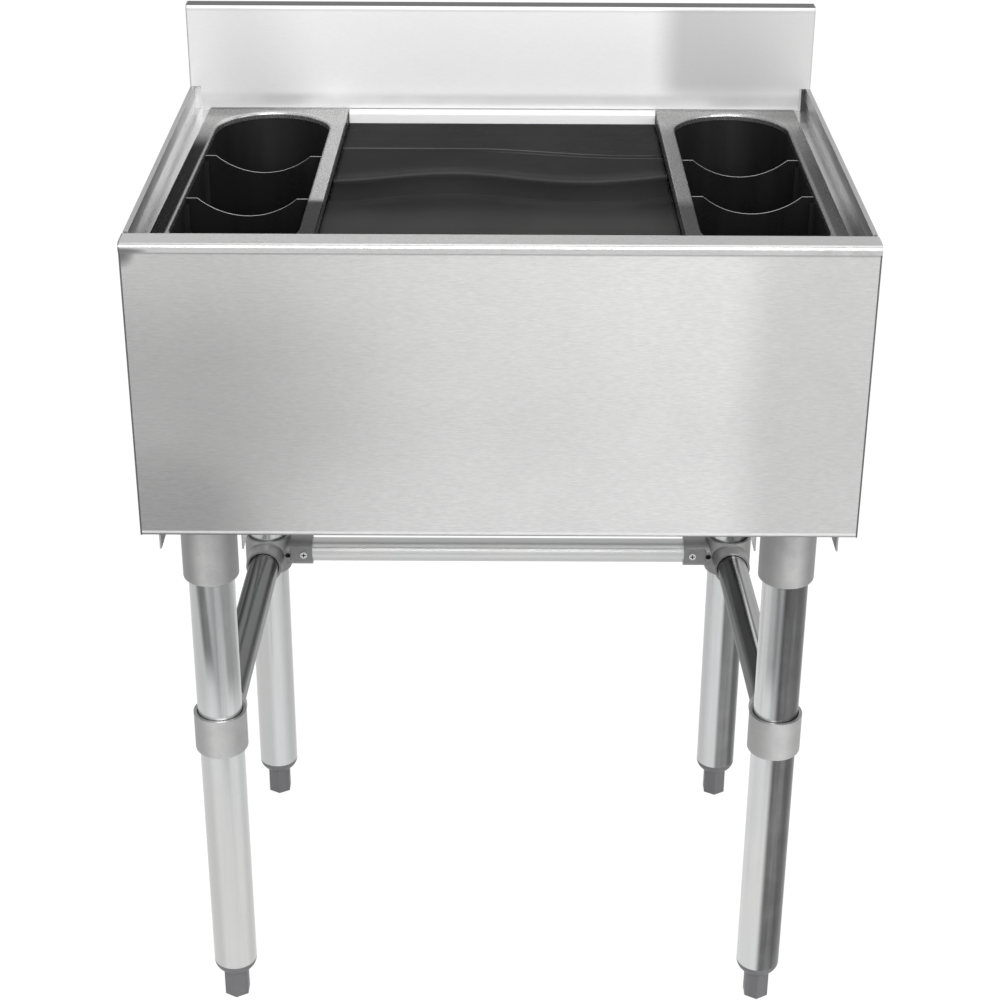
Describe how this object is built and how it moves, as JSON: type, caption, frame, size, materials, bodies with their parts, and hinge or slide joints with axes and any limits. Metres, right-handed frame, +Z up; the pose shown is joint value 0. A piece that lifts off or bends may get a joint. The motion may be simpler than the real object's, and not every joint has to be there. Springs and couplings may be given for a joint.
{
  "type": "underbar ice bin",
  "caption": "Stainless underbar ice bin with lift-out bottle holders at both ends, a drop-in lid between them, a rear splash, a bottom drain and braced pipe legs with levelling feet.",
  "frame": {"origin": "on the floor, under the middle of the bin's width and depth", "axes": "+Z up, +X to the right as seen from the front, +Y from the front to the splash"},
  "size_m": [0.6096, 0.47, 0.894],
  "materials": {
    "stainless_sheet": "horizontally brushed stainless sheet",
    "foam": "rigid insulating foam",
    "galvanised_steel": "smooth galvanised pipe and channel",
    "cast_fitting": "matte die-cast fitting",
    "plated_screw": "zinc-plated",
    "black_plastic": "semi-matte black sheet plastic",
    "grey_plastic": "dark grey moulded plastic",
    "rubber": "soft black gasket",
    "strainer_steel": "drilled stainless disc"
  },
  "bodies": {
    "bin": {"rim_cap": "stainless_sheet", "front_panel": "stainless_sheet", "back_panel": "stainless_sheet", "side_panel_left": "stainless_sheet", "side_panel_right": "stainless_sheet", "bottom_pan": "stainless_sheet", "ice_basin": "stainless_sheet", "top_deck": "stainless_sheet", "backsplash": "stainless_sheet", "lid_rest_front": "stainless_sheet", "lid_rest_rear": "stainless_sheet", "insulation": "foam", "leg_channel_left": "galvanised_steel", "leg_channel_right": "galvanised_steel", "side_rail_left": "galvanised_steel", "side_rail_right": "galvanised_steel", "rear_rail": "galvanised_steel", "leg_socket_front_left": "galvanised_steel", "leg_socket_front_right": "galvanised_steel", "leg_socket_rear_left": "galvanised_steel", "leg_socket_rear_right": "galvanised_steel", "leg_pipe_front_left": "galvanised_steel", "leg_pipe_front_right": "galvanised_steel", "leg_pipe_rear_left": "galvanised_steel", "leg_pipe_rear_right": "galvanised_steel", "brace_fitting_front_left": "cast_fitting", "brace_fitting_front_right": "cast_fitting", "brace_fitting_rear_left": "cast_fitting", "brace_fitting_rear_right": "cast_fitting", "socket_set_screws": "plated_screw", "collar_set_screws": "plated_screw", "side_rail_set_screws": "plated_screw", "rear_rail_screws": "plated_screw", "foot_insert_front_left": "grey_plastic", "foot_insert_front_right": "grey_plastic", "foot_insert_rear_left": "grey_plastic", "foot_insert_rear_right": "grey_plastic", "drain_body": "grey_plastic", "drain_locknut": "grey_plastic", "drain_gasket": "rubber"},
    "lid": {"lid": "black_plastic"},
    "holder_left": {"bottle_frame_left": "stainless_sheet", "bottle_well_left": "black_plastic", "well_nuts_left": "plated_screw"},
    "divider_left_1": {"divider_left_1": "black_plastic"},
    "divider_left_2": {"divider_left_2": "black_plastic"},
    "holder_right": {"bottle_frame_right": "stainless_sheet", "bottle_well_right": "black_plastic", "well_nuts_right": "plated_screw"},
    "divider_right_1": {"divider_right_1": "black_plastic"},
    "divider_right_2": {"divider_right_2": "black_plastic"},
    "foot_front_left": {"levelling_foot_front_left": "grey_plastic"},
    "foot_front_right": {"levelling_foot_front_right": "grey_plastic"},
    "foot_rear_left": {"levelling_foot_rear_left": "grey_plastic"},
    "foot_rear_right": {"levelling_foot_rear_right": "grey_plastic"},
    "strainer": {"drain_strainer": "strainer_steel"}
  },
  "joints": [
    {"name": "lid_lift", "type": "slide", "parent": "bin", "child": "lid", "axis": [0, 0, 1], "range_m": [0, 0.15]},
    {"name": "holder_left_lift", "type": "slide", "parent": "bin", "child": "holder_left", "axis": [0, 0, 1], "range_m": [0, 0.28]},
    {"name": "divider_left_1_lift", "type": "slide", "parent": "holder_left", "child": "divider_left_1", "axis": [0, 0, 1], "range_m": [0, 0.27]},
    {"name": "divider_left_2_lift", "type": "slide", "parent": "holder_left", "child": "divider_left_2", "axis": [0, 0, 1], "range_m": [0, 0.27]},
    {"name": "holder_right_lift", "type": "slide", "parent": "bin", "child": "holder_right", "axis": [0, 0, 1], "range_m": [0, 0.28]},
    {"name": "divider_right_1_lift", "type": "slide", "parent": "holder_right", "child": "divider_right_1", "axis": [0, 0, 1], "range_m": [0, 0.27]},
    {"name": "divider_right_2_lift", "type": "slide", "parent": "holder_right", "child": "divider_right_2", "axis": [0, 0, 1], "range_m": [0, 0.27]},
    {"name": "foot_front_left_screw", "type": "slide", "parent": "bin", "child": "foot_front_left", "axis": [0, 0, -1], "range_m": [0, 0.025]},
    {"name": "foot_front_right_screw", "type": "slide", "parent": "bin", "child": "foot_front_right", "axis": [0, 0, -1], "range_m": [0, 0.025]},
    {"name": "foot_rear_left_screw", "type": "slide", "parent": "bin", "child": "foot_rear_left", "axis": [0, 0, -1], "range_m": [0, 0.025]},
    {"name": "foot_rear_right_screw", "type": "slide", "parent": "bin", "child": "foot_rear_right", "axis": [0, 0, -1], "range_m": [0, 0.025]},
    {"name": "strainer_lift", "type": "slide", "parent": "bin", "child": "strainer", "axis": [0, 0, 1], "range_m": [0, 0.15]}
  ]
}
